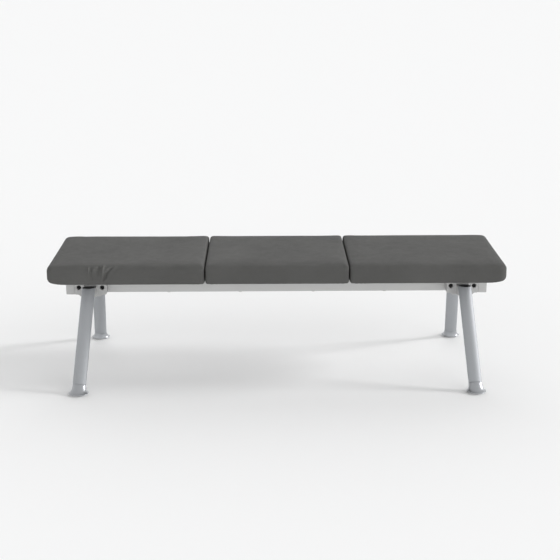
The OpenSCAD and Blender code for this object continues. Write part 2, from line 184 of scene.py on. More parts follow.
def makeStudio(values):
    world = bpy.data.worlds.new("studioSky")
    world.use_nodes = True
    tree = world.node_tree
    back = tree.nodes["Background"]
    aim = addNode(tree, "ShaderNodeSeparateXYZ", {
        "Vector": addNode(tree, "ShaderNodeTexCoord").outputs["Generated"]})
    up = mathNode(tree, "MAXIMUM", aim.outputs["Z"], 0.0)
    low = mathNode(tree, "POWER", mathNode(tree, "SUBTRACT", 1.0, up), values["horizonFall"])
    nearer = mathNode(tree, "MULTIPLY", aim.outputs["Y"], values["frontShare"])
    rightward = mathNode(tree, "MULTIPLY", aim.outputs["X"], values["rightShare"])
    side = mathNode(tree, "ADD", mathNode(tree, "SUBTRACT", 1.0, nearer), rightward)
    glow = mathNode(tree, "MULTIPLY", low, side)
    path = addNode(tree, "ShaderNodeLightPath")
    lit, seen = (mathNode(tree, "ADD", mathNode(tree, "MULTIPLY", glow, horizon), overhead)
                 for horizon, overhead in (values["litSky"], values["mirroredSky"]))
    extra = mathNode(tree, "MULTIPLY", mathNode(tree, "SUBTRACT", seen, lit), path.outputs["Is Glossy Ray"])
    strength = mathNode(tree, "ADD", lit, extra)
    plain = mathNode(tree, "MULTIPLY", mathNode(tree, "SUBTRACT", values["backdrop"], strength),
                     path.outputs["Is Camera Ray"])
    back.inputs["Color"].default_value = values["skyTint"]
    tree.links.new(mathNode(tree, "ADD", strength, plain), back.inputs["Strength"])
    scene.world = world
    height, behind = math.radians(values["keyHeight"]), math.radians(values["keyBehind"])
    sunLight("keyLight", values["keyStrength"], values["keySize"],
             (math.cos(height) * math.cos(behind), math.cos(height) * math.sin(behind), math.sin(height)))
    sunLight("fillLight", values["fillStrength"], values["fillSize"], values["fillFrom"], glossy=False)
    height = math.radians(values["backHeight"])
    sunLight("backLight", values["backStrength"], values["backSize"],
             (0, math.cos(height), math.sin(height)), glossy=False)     # soft fill without highlights
    half = values["floorSize"] / 2
    mesh = bpy.data.meshes.new("studioFloor")
    outline = [(-half, -half, 0), (half, -half, 0), (half, half, 0), (-half, half, 0)]
    mesh.from_pydata(outline, [], [(0, 1, 2, 3)])
    floor = bpy.data.objects.new("studioFloor", mesh)
    scene.collection.objects.link(floor)
    paint = bpy.data.materials.new("paleFloor")
    paint.use_nodes = True
    shader = paint.node_tree.nodes["Principled BSDF"]
    shader.inputs["Base Color"].default_value = values["floorColour"]
    shader.inputs["Roughness"].default_value = 0.9
    shader.inputs["Specular IOR Level"].default_value = 0.0
    mesh.materials.append(paint)


makeCamera(viewPoint)
makeStudio(studio)
print("camera and studio ready")


def makeEdgeWear():
    group, start, end = newGroup("edgeWear", [
        ("Low", "NodeSocketFloat", 0.52), ("High", "NodeSocketFloat", 0.60),
        ("Break Up", "NodeSocketFloat", 90.0),
    ], [("Mask", "NodeSocketFloat")])
    edge = addNode(group, "ShaderNodeNewGeometry").outputs["Pointiness"]
    spot = addNode(group, "ShaderNodeTexCoord").outputs["Object"]
    noise = addNode(group, "ShaderNodeTexNoise", {
        "Vector": spot, "Scale": start.outputs["Break Up"], "Detail": 4.0, "Roughness": 0.6})
    mask = addNode(group, "ShaderNodeMapRange", {
        "Value": edge, "From Min": start.outputs["Low"], "From Max": start.outputs["High"]})
    breaks = mapRange(group, noise.outputs["Fac"], 0.38, 0.62)
    broken = mathNode(group, "MULTIPLY", mask.outputs["Result"], breaks)
    group.links.new(broken, end.inputs["Mask"])
    return group


def makeDust():
    group, start, end = newGroup("dust", [
        ("Amount", "NodeSocketFloat", 0.3), ("Scale", "NodeSocketFloat", 14.0),
    ], [("Mask", "NodeSocketFloat")])
    facing = addNode(group, "ShaderNodeSeparateXYZ", {
        "Vector": addNode(group, "ShaderNodeNewGeometry").outputs["Normal"]}).outputs["Z"]
    spot = addNode(group, "ShaderNodeTexCoord").outputs["Object"]
    broad = addNode(group, "ShaderNodeTexNoise", {
        "Vector": spot, "Scale": start.outputs["Scale"], "Detail": 5.0, "Roughness": 0.65})
    upward = mapRange(group, facing, 0.2, 0.95)
    mask = mathNode(group, "MULTIPLY", upward, mapRange(group, broad.outputs["Fac"], 0.35, 0.7))
    group.links.new(mathNode(group, "MULTIPLY", mask, start.outputs["Amount"]), end.inputs["Mask"])
    return group


def makePaintGrain():
    group, start, end = newGroup("paintGrain", [
        ("Peel Scale", "NodeSocketFloat", 420.0), ("Fleck Scale", "NodeSocketFloat", 2600.0),
        ("Patch Scale", "NodeSocketFloat", 5.0),
    ], [("Height", "NodeSocketFloat"), ("Fleck", "NodeSocketFloat"), ("Patch", "NodeSocketFloat")])
    spot = addNode(group, "ShaderNodeTexCoord").outputs["Object"]
    peel = addNode(group, "ShaderNodeTexNoise", {
        "Vector": spot, "Scale": start.outputs["Peel Scale"], "Detail": 2.0, "Roughness": 0.5})
    fleck = addNode(group, "ShaderNodeTexVoronoi", {"Vector": spot, "Scale": start.outputs["Fleck Scale"]})
    tone = addNode(group, "ShaderNodeSeparateColor", {"Color": fleck.outputs["Color"]}).outputs[0]
    patch = addNode(group, "ShaderNodeTexNoise", {
        "Vector": spot, "Scale": start.outputs["Patch Scale"], "Detail": 4.0, "Roughness": 0.6})
    group.links.new(peel.outputs["Fac"], end.inputs["Height"])
    group.links.new(tone, end.inputs["Fleck"])
    group.links.new(patch.outputs["Fac"], end.inputs["Patch"])
    return group


def makeHideGrain():
    group, start, end = newGroup("hideGrain", [
        ("Cell Scale", "NodeSocketFloat", 620.0), ("Crease Scale", "NodeSocketFloat", 46.0),
        ("Patch Scale", "NodeSocketFloat", 3.2),
    ], [("Height", "NodeSocketFloat"), ("Pores", "NodeSocketFloat"), ("Creases", "NodeSocketFloat"),
        ("Patch", "NodeSocketFloat")])
    spot = addNode(group, "ShaderNodeTexCoord").outputs["Object"]
    warp = addNode(group, "ShaderNodeTexNoise", {"Vector": spot, "Scale": 55.0, "Detail": 3.0})
    bent = addNode(group, "ShaderNodeVectorMath", {
        0: spot, 1: addNode(group, "ShaderNodeVectorMath", {
            0: warp.outputs["Color"], 1: (0.004, 0.004, 0.004)}, operation="MULTIPLY").outputs[0],
    }, operation="ADD").outputs[0]
    cells = addNode(group, "ShaderNodeTexVoronoi", {
        "Vector": bent, "Scale": start.outputs["Cell Scale"]}, feature="DISTANCE_TO_EDGE")
    furrow = mapRange(group, cells.outputs["Distance"], 0.0, 0.22, smooth=True)
    pores = addNode(group, "ShaderNodeTexNoise", {
        "Vector": bent, "Scale": 1500.0, "Detail": 2.0, "Roughness": 0.6})
    creases = addNode(group, "ShaderNodeTexNoise", {
        "Vector": bent, "Scale": start.outputs["Crease Scale"], "Detail": 6.0, "Roughness": 0.62})
    patch = addNode(group, "ShaderNodeTexNoise", {
        "Vector": spot, "Scale": start.outputs["Patch Scale"], "Detail": 5.0, "Roughness": 0.55})
    height = mathNode(group, "ADD", mathNode(group, "MULTIPLY", furrow, 0.75),
                      mathNode(group, "MULTIPLY", pores.outputs["Fac"], 0.25))
    for value, name in ((height, "Height"), (mathNode(group, "SUBTRACT", 1.0, furrow), "Pores"),
                        (creases.outputs["Fac"], "Creases"), (patch.outputs["Fac"], "Patch")):
        group.links.new(value, end.inputs[name])
    return group


edgeWear = makeEdgeWear()
dust = makeDust()
paintGrain = makePaintGrain()
hideGrain = makeHideGrain()
print("effects ready")


def newMaterial(name, **constants):
    material = bpy.data.materials.new(name)
    material.use_nodes = True
    tree = material.node_tree
    shader = tree.nodes["Principled BSDF"]
    for socket, value in constants.items():
        shader.inputs[socket.replace("_", " ")].default_value = value
    return material, tree, shader


def bumpFrom(tree, shader, height, distance, strength=1.0, under=None):
    inputs = {"Height": height, "Distance": distance, "Strength": strength}
    if under is not None:
        inputs["Normal"] = under
    bump = addNode(tree, "ShaderNodeBump", inputs)
    tree.links.new(bump.outputs["Normal"], shader.inputs["Normal"])
    return bump.outputs["Normal"]


hideLook = {
    "base": (0.0770, 0.0766, 0.0736, 1),
    "worn": (0.0918, 0.0914, 0.0880, 1),
    "furrow": (0.045, 0.045, 0.044, 1),
    "dustTone": (0.34, 0.33, 0.31, 1),
    "roughness": (0.56, 0.68),
    "grainDepth": 0.00011,
    "creaseDepth": 0.0005,
}


def makeHide(look):
    material, tree, shader = newMaterial("hideGrey", Specular_IOR_Level=0.22)
    grain = place(tree, hideGrain)
    patches = mapRange(tree, grain.outputs["Patch"], 0.38, 0.64)
    colour = blendColour(tree, patches, look["base"], look["worn"])
    pores = mathNode(tree, "MULTIPLY", grain.outputs["Pores"], 0.42)
    colour = blendColour(tree, pores, colour, look["furrow"])
    edges = place(tree, edgeWear, Low=0.505, High=0.56, Break_Up=60.0)
    colour = blendColour(tree, mathNode(tree, "MULTIPLY", edges.outputs["Mask"], 0.3), colour, look["worn"])
    settled = place(tree, dust, Amount=0.05, Scale=9.0)
    colour = blendColour(tree, settled.outputs["Mask"], colour, look["dustTone"])
    tree.links.new(colour, shader.inputs["Base Color"])
    low, high = look["roughness"]
    rough = mapRange(tree, grain.outputs["Creases"], 0.3, 0.7, low, high)
    rough = mathNode(tree, "ADD", rough, mathNode(tree, "MULTIPLY", grain.outputs["Pores"], 0.12))
    tree.links.new(rough, shader.inputs["Roughness"])
    broad = bumpFrom(tree, shader, grain.outputs["Creases"], look["creaseDepth"])
    bumpFrom(tree, shader, grain.outputs["Height"], look["grainDepth"], under=broad)
    return material


def makePaintedMetal(name, look):
    material, tree, shader = newMaterial(name, Metallic=look["metallic"], Specular_IOR_Level=0.5,
                                         Coat_Roughness=0.2, Coat_Weight=look["coat"])
    grain = place(tree, paintGrain, Peel_Scale=look["peel"], Fleck_Scale=look["fleck"])
    base = look["base"]
    lighter, darker = (tuple(c * share for c in base[:3]) + (1,) for share in (1.03, 0.97))
    colour = blendColour(tree, mapRange(tree, grain.outputs["Fleck"], 0.0, 1.0), darker, lighter)
    colour = blendColour(tree, mapRange(tree, grain.outputs["Patch"], 0.35, 0.65, 0.0, 0.35), colour, base)
    edges = place(tree, edgeWear, Low=0.55, High=0.66, Break_Up=140.0)
    colour = blendColour(tree, mathNode(tree, "MULTIPLY", edges.outputs["Mask"], look["wear"]), colour,
                         look["wearTone"])
    settled = place(tree, dust, Amount=look["dust"], Scale=18.0)
    colour = blendColour(tree, settled.outputs["Mask"], colour, (0.42, 0.41, 0.39, 1))
    tree.links.new(colour, shader.inputs["Base Color"])
    rough = mapRange(tree, grain.outputs["Patch"], 0.3, 0.7, *look["roughness"])
    dull = mathNode(tree, "MULTIPLY", settled.outputs["Mask"], 0.25)
    rough = mathNode(tree, "ADD", rough, dull, clamp=True)
    tree.links.new(rough, shader.inputs["Roughness"])
    bumpFrom(tree, shader, grain.outputs["Height"], look["peelDepth"])
    return material


metalLooks = {
    "beam_silver": {
        "base": (0.530, 0.530, 0.525, 1), "metallic": 0.45, "roughness": (0.40, 0.43), "coat": 0.0,
        "peel": 380.0, "fleck": 2400.0, "peelDepth": 0.00002,
        "wear": 0.0, "wearTone": (0.70, 0.70, 0.70, 1), "dust": 0.15,
    },
    "cast_silver": {
        "base": (0.472, 0.472, 0.467, 1), "metallic": 0.28, "roughness": (0.43, 0.48), "coat": 0.0,
        "peel": 300.0, "fleck": 2200.0, "peelDepth": 0.00004,
        "wear": 0.35, "wearTone": (0.70, 0.70, 0.70, 1), "dust": 0.15,
    },
    "leg_silver": {
        "base": (0.404, 0.417, 0.434, 1), "metallic": 0.80, "roughness": (0.58, 0.62), "coat": 0.0,
        "peel": 520.0, "fleck": 3000.0, "peelDepth": 0.000006,
        "wear": 0.0, "wearTone": (0.46, 0.47, 0.48, 1), "dust": 0.015,
    },
    "foot_silver": {
        "base": (0.402, 0.415, 0.434, 1), "metallic": 0.75, "roughness": (0.30, 0.36), "coat": 0.25,
        "peel": 420.0, "fleck": 3000.0, "peelDepth": 0.000006,
        "wear": 0.4, "wearTone": (0.74, 0.74, 0.75, 1), "dust": 0.12,
    },
    "zinc_steel": {
        "base": (0.52, 0.52, 0.49, 1), "metallic": 0.95, "roughness": (0.30, 0.42), "coat": 0.0,
        "peel": 900.0, "fleck": 1600.0, "peelDepth": 0.00002,
        "wear": 0.0, "wearTone": (0.68, 0.68, 0.66, 1), "dust": 0.1,
    },
    "black_steel": {
        "base": (0.030, 0.030, 0.031, 1), "metallic": 0.0, "roughness": (0.42, 0.55), "coat": 0.0,
        "peel": 350.0, "fleck": 2000.0, "peelDepth": 0.0001,
        "wear": 0.0, "wearTone": (0.12, 0.12, 0.12, 1), "dust": 0.2,
    },
    "black_screws": {
        "base": (0.009, 0.009, 0.010, 1), "metallic": 0.2, "roughness": (0.42, 0.52), "coat": 0.0,
        "peel": 900.0, "fleck": 2000.0, "peelDepth": 0.00002,
        "wear": 0.0, "wearTone": (0.10, 0.10, 0.10, 1), "dust": 0.1,
    },
}


def makePlastic(name, base, roughness, grainDepth):
    material, tree, shader = newMaterial(name, Specular_IOR_Level=0.45)
    grain = place(tree, paintGrain, Peel_Scale=1100.0, Fleck_Scale=1500.0, Patch_Scale=20.0)
    scuffed = tuple(min(c * 2.4 + 0.01, c + 0.12) for c in base[:3]) + (1,)
    edges = place(tree, edgeWear, Low=0.52, High=0.6, Break_Up=200.0)
    colour = blendColour(tree, mapRange(tree, grain.outputs["Patch"], 0.4, 0.7, 0.0, 0.25), base, scuffed)
    colour = blendColour(tree, mathNode(tree, "MULTIPLY", edges.outputs["Mask"], 0.5), colour, scuffed)
    tree.links.new(colour, shader.inputs["Base Color"])
    tree.links.new(mapRange(tree, grain.outputs["Patch"], 0.3, 0.7, roughness - 0.05, roughness + 0.08),
                   shader.inputs["Roughness"])
    bumpFrom(tree, shader, grain.outputs["Height"], grainDepth)
    return material


def makePlywood():
    material, tree, shader = newMaterial("plywoodRaw", Roughness=0.7, Specular_IOR_Level=0.3)
    spot = addNode(tree, "ShaderNodeTexCoord").outputs["Object"]
    stretched = addNode(tree, "ShaderNodeMapping", {"Vector": spot, "Scale": (3.0, 60.0, 650.0)}).outputs[0]
    figure = addNode(tree, "ShaderNodeTexNoise", {"Vector": stretched, "Scale": 3.0, "Detail": 6.0})
    plies = addNode(tree, "ShaderNodeTexWave", {
        "Vector": spot, "Scale": 105.0, "Distortion": 0.6, "Detail": 1.0}, bands_direction="Z")
    colour = blendColour(tree, figure.outputs["Fac"], (0.42, 0.27, 0.14, 1), (0.60, 0.43, 0.25, 1))
    colour = blendColour(tree, mathNode(tree, "MULTIPLY", plies.outputs["Fac"], 0.4), colour,
                         (0.25, 0.14, 0.07, 1))
    tree.links.new(colour, shader.inputs["Base Color"])
    bumpFrom(tree, shader, figure.outputs["Fac"], 0.0002)
    return material


def makeFoam():
    material, tree, shader = newMaterial("foamCream", Roughness=0.95, Specular_IOR_Level=0.1)
    spot = addNode(tree, "ShaderNodeTexCoord").outputs["Object"]
    cells = addNode(tree, "ShaderNodeTexVoronoi", {"Vector": spot, "Scale": 900.0})
    colour = blendColour(tree, mapRange(tree, cells.outputs["Distance"], 0.0, 0.6), (0.52, 0.44, 0.24, 1),
                         (0.78, 0.70, 0.46, 1))
    tree.links.new(colour, shader.inputs["Base Color"])
    bumpFrom(tree, shader, cells.outputs["Distance"], 0.0004)
    return material


def makeDustCloth():
    material, tree, shader = newMaterial("dustClothBlack", Roughness=0.9, Specular_IOR_Level=0.15,
                                         Sheen_Weight=0.2)
    spot = addNode(tree, "ShaderNodeTexCoord").outputs["Object"]
    fibres = addNode(tree, "ShaderNodeTexNoise", {
        "Vector": addNode(tree, "ShaderNodeMapping", {"Vector": spot, "Scale": (1.0, 2.4, 1.0)}).outputs[0],
        "Scale": 700.0, "Detail": 5.0, "Roughness": 0.7, "Distortion": 1.2})
    points = addNode(tree, "ShaderNodeTexVoronoi", {"Vector": spot, "Scale": 480.0}, distance="CHEBYCHEV")
    dimple = mapRange(tree, points.outputs["Distance"], 0.1, 0.32)
    colour = blendColour(tree, fibres.outputs["Fac"], (0.012, 0.012, 0.013, 1), (0.045, 0.045, 0.048, 1))
    colour = blendColour(tree, dimple, (0.010, 0.010, 0.010, 1), colour)
    tree.links.new(colour, shader.inputs["Base Color"])
    bumpFrom(tree, shader, mathNode(tree, "ADD", fibres.outputs["Fac"], dimple), 0.00018)
    return material


materials = {name: makePaintedMetal(name.replace("_", ""), look) for name, look in metalLooks.items()}
materials["leatherette"] = makeHide(hideLook)
materials["black_plastic"] = makePlastic("plugBlack", (0.016, 0.016, 0.017, 1), 0.48, 0.00006)
materials["glide_plastic"] = makePlastic("glideNylon", (0.36, 0.36, 0.36, 1), 0.55, 0.00008)
materials["plywood"] = makePlywood()
materials["foam"] = makeFoam()
materials["dust_cloth"] = makeDustCloth()
slotOf = {part["node"]: part["material_slot"] for part in frame["record"]["subparts"]}
for nodeName, node in nodes.items():
    node.data.materials.clear()
    node.data.materials.append(materials[slotOf[nodeName]])
print("materials ready")


def addPiece(name, points, faces, slotName):
    mesh = bpy.data.meshes.new(name)
    mesh.from_pydata([tuple(p) for p in points], [], faces)
    mesh.validate()
    piece = bpy.data.objects.new(name, mesh)
    scene.collection.objects.link(piece)
    mesh.materials.append(materials[slotName])
    mesh.shade_smooth()
    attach(piece, "frame")
    return piece


def applyModifiers(piece):
    scene.view_layers[0].update()
    shape = bpy.data.meshes.new_from_object(piece.evaluated_get(bpy.context.evaluated_depsgraph_get()))
    piece.modifiers.clear()
    piece.data = shape


def loft(rings, closeStart=True):
    count = len(rings[0])
    points = [p for ring in rings for p in ring]
    faces = []
    for r in range(len(rings) - 1):
        for i in range(count):
            j = (i + 1) % count
            faces.append((r * count + i, r * count + j, (r + 1) * count + j, (r + 1) * count + i))
    if closeStart:
        faces.append(tuple(reversed(range(count))))
    faces.append(tuple(range((len(rings) - 1) * count, len(rings) * count)))
    return points, faces


def smoothstep(value):
    value = np.clip(value, 0, 1)
    return value * value * (3 - 2 * value)


seatLook = {
    "cell": 0.0075,             # spacing of the skin's grid before subdivision
    "noseRadius": 0.021,
    "rearRadius": 0.011,
    "underRadius": 0.005,
    "sideRadius": 0.0090,
    "endRadius": 0.015,
    "innerCorner": 0.0120,
    "frontCorner": 0.026,       # plan corners of the bench's two ends
    "rearCorner": 0.018,
    "crown": (0.0024, 0.085),   # fall of the top towards the front edge, and over what stretch
    "flatShare": 0.6,           # part of the half height, beyond which a point is on the top or underside
    "endLength": 0.075,         # stretch over which an outer end thins
    "endDrop": 0.0030,
    "endRise": 0.0050,
    "endSwell": (0.0018, 0.10),     # how far an outer end stands proud, and over what stretch
    "hemDrop": (0.0012, 0.022),     # how far the wrapped lower edge hangs, and how wide it is
    "pressed": 0.0018,          # how far each neighbour swells into the gap
    "pressMargin": 0.0003,      # pushed this much further, then flattened off
    "pressWidth": 0.04,
    "inset": 0.0005,            # room that the cloth's swelling fills
    "pressure": 4.0,
    "frames": 20,
    "mostRise": 0.0020,         # limits of the swelling, on top and at the sides
    "mostBulge": 0.0014,
    "heldBand": 0.003,          # height of the stapled lower edge
    "topBand": 0.004,           # height of the part that counts as the top
}


def boxSkin(xs, ys, zs):
    index, points, faces = {}, [], []

    def corner(i, j, k):
        if (i, j, k) not in index:
            index[(i, j, k)] = len(points)
            points.append((xs[i], ys[j], zs[k]))
        return index[(i, j, k)]

    def quad(*cells):
        faces.append(tuple(corner(*cell) for cell in cells))

    lastX, lastY, lastZ = len(xs) - 1, len(ys) - 1, len(zs) - 1
    for i in range(lastX):
        for j in range(lastY):
            quad((i, j, 0), (i, j + 1, 0), (i + 1, j + 1, 0), (i + 1, j, 0))
            quad((i, j, lastZ), (i + 1, j, lastZ), (i + 1, j + 1, lastZ), (i, j + 1, lastZ))
        for k in range(lastZ):
            quad((i, 0, k), (i + 1, 0, k), (i + 1, 0, k + 1), (i, 0, k + 1))
            quad((i, lastY, k), (i, lastY, k + 1), (i + 1, lastY, k + 1), (i + 1, lastY, k))
    for j in range(lastY):
        for k in range(lastZ):
            quad((0, j, k), (0, j, k + 1), (0, j + 1, k + 1), (0, j + 1, k))
            quad((lastX, j, k), (lastX, j + 1, k), (lastX, j + 1, k + 1), (lastX, j, k + 1))
    return np.array(points), faces


def roundEdges(points, first, second, half, radius):
    outA = np.abs(points[:, first]) - (half[first] - radius)
    outB = np.abs(points[:, second]) - (half[second] - radius)
    squeeze = np.where((outA > 0) & (outB > 0),
                       np.maximum(outA, outB) / np.maximum(np.hypot(outA, outB), 1e-9), 1.0)
    corner = (outA > 0) & (outB > 0)
    for axis, out in ((first, outA), (second, outB)):
        moved = np.sign(points[:, axis]) * (half[axis] - radius + out * squeeze)
        points[:, axis] = np.where(corner, moved, points[:, axis])


def evenSteps(low, high, cell):
    return np.linspace(low, high, max(2, round((high - low) / cell)) + 1)


foldLook = {
    "between": (-0.705, -0.565),    # the creased stretch of the left seat's front
    "cell": 0.0026,
    "reach": 0.068,                 # how far down the front the creases go
    "edgeShare": 0.8,               # the top edge starts at this share of the nose's radius
    "fadeIn": 0.012,                # lengths over which a crease sets in and dies away
    "fadeOut": 0.022,
    # a way's points are millimetres over the nose from the top edge, then X in metres
    # a span is where the crease starts and ends, in the same millimetres
    "folds": (
        {"way": ((0, -0.6855), (50, -0.6862)), "width": 0.0023, "height": 0.0029, "span": (0, 48)},
        {"way": ((0, -0.6765), (40, -0.6785), (70, -0.6720)), "width": 0.0042, "height": -0.0028,
         "span": (8, 72)},
        {"way": ((5, -0.6630), (35, -0.6715), (45, -0.6730)), "width": 0.0028, "height": 0.0016,
         "span": (3, 46)},
        {"way": ((0, -0.6485), (35, -0.6495), (50, -0.6540)), "width": 0.0052, "height": -0.0044,
         "span": (-4, 56)},
        {"way": ((-5, -0.6300), (28, -0.6345), (50, -0.6362), (62, -0.6385)), "width": 0.0044,
         "height": 0.0046, "span": (-9, 64)},
        {"way": ((0, -0.592), (8, -0.600), (17, -0.607), (34, -0.616), (47, -0.624), (72, -0.636)),
         "width": 0.0062, "height": -0.0066, "span": (3, 80)},
        {"way": ((-6, -0.566), (8, -0.578), (20, -0.588), (34, -0.598), (52, -0.612)), "width": 0.0140,
         "height": -0.0026, "span": (-6, 58)},
    ),
}


def creaseFront(points, high, look, nose):
    down = points[:, 1] - (-high[1] + nose), points[:, 2] - (high[2] - nose)
    turn = np.arctan2(-down[0], down[1])
    way = np.where(down[0] > 0, -down[0], np.where(down[1] > 0, nose * turn, nose * math.pi / 2 - down[1]))
    onFront = (points[:, 1] < 0) & (points[:, 2] > high[2] - look["reach"])
    onFace = onFront & ((down[0] < 0) | (down[1] > nose * look["edgeShare"]))
    outward = np.zeros_like(points)
    outward[:, 1] = np.where(down[0] > 0, 0, np.where(down[1] > 0, -np.sin(turn), -1))
    outward[:, 2] = np.where(down[0] > 0, 1, np.where(down[1] > 0, np.cos(turn), 0))
    for fold in look["folds"]:
        steps, across = zip(*fold["way"])
        middle = np.interp(way * 1000, steps, across)
        first, last = (value / 1000 for value in fold["span"])
        fade = smoothstep((way - first) / look["fadeIn"]) * smoothstep((last - way) / look["fadeOut"])
        lift = fold["height"] * np.exp(-((points[:, 0] - middle) / fold["width"]) ** 2) * fade
        points += outward * (lift * onFace)[:, None]


def padShape(low, high, end, look):
    high = high - (0, 0, look["inset"])
    centre = (low + high) / 2
    half = (high - low) / 2 - look["inset"] * np.array((1, 1, 0))
    grid = [evenSteps(-h, h, look["cell"]) for h in half]
    if end < 0:     # closer spacing where the leatherette creases
        first, last = (x - centre[0] for x in foldLook["between"])
        grid[0] = np.concatenate((evenSteps(-half[0], first, look["cell"]),
                                  evenSteps(first, last, foldLook["cell"])[1:-1],
                                  evenSteps(last, half[0], look["cell"])))
    points, faces = boxSkin(*grid)
    up, front = points[:, 2] > 0, points[:, 1] < 0
    outer = np.sign(points[:, 0]) == end if end else np.zeros(len(points), bool)
    upper = np.where(front, look["noseRadius"], look["rearRadius"])
    roundEdges(points, 1, 2, half, np.where(up, upper, look["underRadius"]))
    side = np.where(outer, look["endRadius"], look["sideRadius"])
    roundEdges(points, 0, 2, half, side)
    plan = np.where(front, look["frontCorner"], look["rearCorner"])
    roundEdges(points, 0, 1, half, np.where(outer, plan, look["innerCorner"]))
    fall, stretch = look["crown"]
    nearFront = np.clip(1 - (points[:, 1] + half[1]) / stretch, 0, 1) ** 2
    points[:, 2] -= fall * nearFront * (points[:, 2] > look["flatShare"] * half[2])
    drop, width = look["hemDrop"]
    fromEdge = np.min(half[:2] - np.abs(points[:, :2]), axis=1)
    points[:, 2] -= drop * smoothstep(1 - fromEdge / width) * (points[:, 2] < -look["flatShare"] * half[2])
    for way in (-1, 1):
        if way != end:
            nearSide = smoothstep(1 - (half[0] - points[:, 0] * way) / look["pressWidth"])
            points[:, 0] += way * nearSide * (look["pressed"] + look["inset"] + look["pressMargin"])
    if end:
        swell, stretch = look["endSwell"]
        points[:, 0] += end * swell * smoothstep(1 - (half[0] - points[:, 0] * end) / stretch)
        nearEnd = smoothstep(1 - (half[0] - points[:, 0] * end) / look["endLength"]) ** 1.5
        share = points[:, 2] / half[2]
        points[:, 2] -= nearEnd * np.where(share > 0, look["endDrop"] * share, look["endRise"] * share)
    return points + centre, faces


def inflate(piece, look):
    before = np.array([v.co for v in piece.data.vertices])
    low, high = before.min(axis=0), before.max(axis=0)
    held = piece.vertex_groups.new(name="stapled")
    held.add([int(i) for i in np.nonzero(before[:, 2] < low[2] + look["heldBand"])[0]], 1.0, "REPLACE")
    cloth = piece.modifiers.new("upholstery", "CLOTH")
    cloth.settings.quality = 4
    cloth.settings.mass = 0.4
    cloth.settings.tension_stiffness = 40
    cloth.settings.compression_stiffness = 40
    cloth.settings.shear_stiffness = 20
    cloth.settings.bending_stiffness = 2
    cloth.settings.use_pressure = True
    cloth.settings.uniform_pressure_force = look["pressure"]
    cloth.settings.vertex_group_mass = "stapled"
    cloth.settings.effector_weights.gravity = 0
    cloth.collision_settings.use_collision = False
    cloth.point_cache.frame_start = 1
    cloth.point_cache.frame_end = look["frames"]
    for number in range(1, look["frames"] + 1):
        scene.frame_set(number)
    shape = piece.evaluated_get(bpy.context.evaluated_depsgraph_get()).to_mesh()
    after = np.array([v.co for v in shape.vertices])
    piece.modifiers.clear()
    move = after - before
    length = np.linalg.norm(move, axis=1)
    facingUp = before[:, 2] > high[2] - look["topBand"]
    most = np.where(facingUp, look["mostRise"], look["mostBulge"])
    move *= (most * np.tanh(length / most) / np.maximum(length, 1e-9))[:, None]
    piece.data.vertices.foreach_set("co", (before + move).ravel())
    scene.frame_set(1)


hemLook = {
    "depth": 0.0011,        # pleats gathered under each corner
    "pleats": 11,
    "reach": 0.055,
    "pucker": 0.00035,      # pull of each staple along the straight runs
    "spacing": 0.046,
    "underside": (0.004, 0.003),    # the hem starts this far above the lowest point and is full after this
    "pleatLevel": 0.3,
    "pleatFree": (0.006, 0.020),    # smooth middle of each corner, and where the pleats are full
    "stapleRow": (0.030, 0.018),    # middle and half width of the puckered run
}


def pleatHem(points, low, high, look):
    start, full = look["underside"]
    below = smoothstep((low[2] + start - points[:, 2]) / full)
    fromEnd = np.minimum(points[:, 0] - low[0], high[0] - points[:, 0])
    fromSide = np.minimum(points[:, 1] - low[1], high[1] - points[:, 1])
    angle = np.arctan2(look["reach"] - fromSide, look["reach"] - fromEnd)
    out = np.hypot(look["reach"] - fromSide, look["reach"] - fromEnd)
    nearCorner = (fromEnd < look["reach"]) & (fromSide < look["reach"])
    ridge = np.abs(np.sin(angle * look["pleats"])) ** 1.5
    smooth, grow = look["pleatFree"]
    pleat = look["depth"] * (look["pleatLevel"] - ridge) * smoothstep((out - smooth) / grow) * nearCorner
    along = np.where(fromEnd < fromSide, points[:, 1], points[:, 0])
    middle, width = look["stapleRow"]
    inner = smoothstep(1 - np.abs(np.minimum(fromEnd, fromSide) - middle) / width)
    pull = look["pucker"] * np.cos(along / look["spacing"] * 2 * math.pi) * inner * ~nearCorner
    points[:, 2] += below * (pleat + pull)


def pressTogether(points, low, high, end, look):
    leftStop = low[0] - look["pressed"] if end > -1 else -math.inf
    rightStop = high[0] + look["pressed"] if end < 1 else math.inf
    points[:, 0] = np.clip(points[:, 0], leftStop, rightStop)


def makeSeat(name, end):
    low, high = (np.array(c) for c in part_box("seat_cover_" + name))
    points, faces = padShape(low, high, end, seatLook)
    seat = addPiece("seatPad_" + name, points, faces, "leatherette")
    inflate(seat, seatLook)
    smoother = seat.modifiers.new("soften", "SMOOTH")
    smoother.factor = 0.5
    smoother.iterations = 3
    finer = seat.modifiers.new("finer", "SUBSURF")
    finer.levels = finer.render_levels = 1
    applyModifiers(seat)
    skin = np.array([v.co for v in seat.data.vertices])
    if end < 0:
        creaseFront(skin, high, foldLook, seatLook["noseRadius"])
    pleatHem(skin, low, high, hemLook)
    pressTogether(skin, low, high, end, seatLook)
    seat.data.vertices.foreach_set("co", skin.ravel())
    seat.data.shade_smooth()
    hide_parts("seat_cover_" + name, "seat_foam_" + name)


for name, end in zip(ends, (-1, 0, 1)):     # which way is outwards
    makeSeat(name, end)
print("seats ready")


